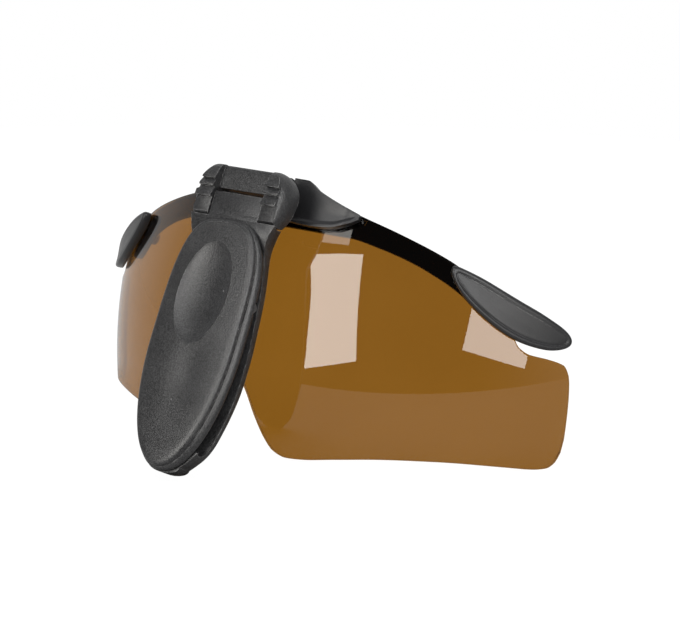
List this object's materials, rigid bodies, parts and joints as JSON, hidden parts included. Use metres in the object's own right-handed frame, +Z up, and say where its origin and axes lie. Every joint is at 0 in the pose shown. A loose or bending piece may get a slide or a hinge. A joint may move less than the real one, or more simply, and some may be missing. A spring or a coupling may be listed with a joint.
{
  "type": "clip-on flip-up sun shield",
  "caption": "Wrapped tinted sun shield on a flip hinge, with a sprung clip that grips a cap brim; it stands folded, as an A-frame.",
  "frame": {"origin": "centre of the footprint, on the table the folded shield stands on", "axes": "+X across the lens, -Y towards the side of the clip that carries the thumb paddle, +Z up"},
  "size_m": [0.1392, 0.0692, 0.068],
  "materials": {
    "clip": "fine-grained dark grey moulding, satin",
    "trim": "soft satin black",
    "bar": "polished black",
    "lens": "polished brown tint, see-through",
    "steel": "small turned parts",
    "rubber": "matte"
  },
  "bodies": {
    "clip": {"clip_base": "clip", "hinge_pin": "steel"},
    "paddle": {"clip_paddle": "clip", "grip_rib": "rubber"},
    "visor": {"yoke": "clip", "lens_shield": "lens", "brow_bar": "bar", "bridge_wing_left": "trim", "bridge_wing_right": "trim", "end_pad_left": "trim", "end_pad_right": "trim", "yoke_screw_left": "steel", "yoke_screw_right": "steel", "wing_screw_left": "steel", "wing_screw_right": "steel", "pad_screw_left": "steel", "pad_screw_right": "steel"}
  },
  "joints": [
    {"name": "lens_flip", "type": "hinge", "parent": "clip", "child": "visor", "pos_m": [0, -0.00228, 0.0592], "axis": [1, 0, 0], "range_deg": [0, 92]},
    {"name": "paddle_squeeze", "type": "hinge", "parent": "clip", "child": "paddle", "pos_m": [0, -0.03237, 0.00237], "axis": [1, 0, 0], "range_deg": [0, 5], "stiffness_Nm_per_rad": 0.3, "springref_deg": -2.86}
  ]
}
